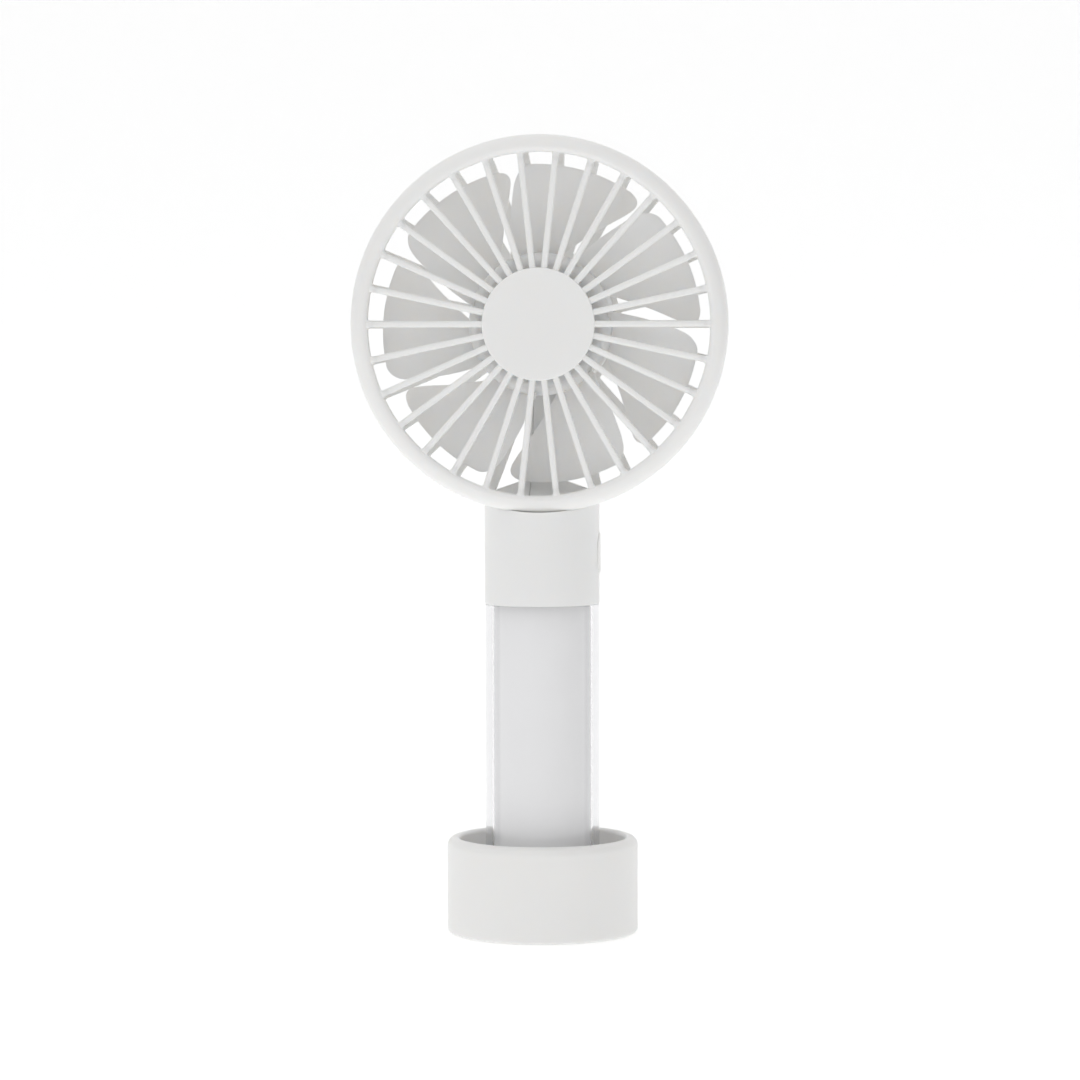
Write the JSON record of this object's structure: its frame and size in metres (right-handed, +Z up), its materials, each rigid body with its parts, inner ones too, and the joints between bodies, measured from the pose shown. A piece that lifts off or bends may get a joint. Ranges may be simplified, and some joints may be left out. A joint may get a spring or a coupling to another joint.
{
  "type": "handheld electric fan",
  "caption": "Handheld electric fan: round ribbed cage with a bladed impeller on a straight part-clear tube handle, standing upright in a round cup-shaped stand.",
  "frame": {"origin": "on the surface the stand rests on, under the centre of the stand", "axes": "+Z up along the handle; the fan's face and its airflow point along -Y; +X is on the right seen from the front, where the button is"},
  "size_m": [0.1, 0.0512, 0.2132],
  "materials": {
    "white_plastic": "fine matte, warm white moulded ABS",
    "stand_plastic": "fine matte, warm white moulded ABS",
    "core_plastic": "satin white tube",
    "clear_plastic": "clear polished acrylic",
    "impeller_plastic": "satin white moulded plastic",
    "button_plastic": "matte white",
    "foot_rubber": "soft grey rubber",
    "cell_wrap": "shrink sleeve",
    "nickel": "nickel plated",
    "foam": "foam tape",
    "steel": "plain steel",
    "screw_steel": "zinc plated",
    "magnet": "ferrite",
    "brass": "turned brass",
    "copper": "enamelled copper wire",
    "motor_plastic": "plain nylon",
    "board": "solder mask",
    "chip": "moulded epoxy",
    "led": "diffused",
    "lead_insulation": "insulation"
  },
  "bodies": {
    "stand": {"base_cup": "stand_plastic", "base_foot_pad": "foot_rubber"},
    "fan": {"handle_end_cap": "white_plastic", "handle_sleeve": "clear_plastic", "handle_core": "core_plastic", "battery_cell": "cell_wrap", "battery_tabs": "nickel", "battery_pads": "foam", "rear_cage": "white_plastic", "spine_cover": "white_plastic", "front_grille": "white_plastic", "front_ring": "white_plastic", "bearing_tube": "brass", "front_bearing": "steel", "rear_bearing": "steel", "stator_core": "steel", "stator_windings": "copper", "motor_base": "motor_plastic", "motor_pcb": "board", "motor_chips": "chip", "pcb_posts": "motor_plastic", "motor_screws": "screw_steel", "neck_shell": "white_plastic", "tact_switch": "chip", "control_pcb": "board", "usb_socket": "nickel", "control_chips": "chip", "indicator_led": "led", "light_pipe": "clear_plastic", "battery_leads": "lead_insulation", "motor_leads": "lead_insulation"},
    "rotor": {"impeller": "impeller_plastic", "rotor_yoke": "steel", "rotor_magnet": "magnet", "motor_shaft": "steel", "shaft_clip": "steel"},
    "button": {"power_button": "button_plastic", "switch_plunger": "motor_plastic"}
  },
  "joints": [
    {"name": "lift_out", "type": "slide", "parent": "stand", "child": "fan", "axis": [0, 0, 1], "range_m": [0, 0.03]},
    {"name": "impeller_spin", "type": "hinge", "parent": "fan", "child": "rotor", "pos_m": [0, 0, 0.1632], "axis": [0, 1, 0], "continuous": true},
    {"name": "button_press", "type": "slide", "parent": "fan", "child": "button", "axis": [-1, 0, 0], "range_m": [0, 0.0005], "stiffness_N_per_m": 600}
  ]
}
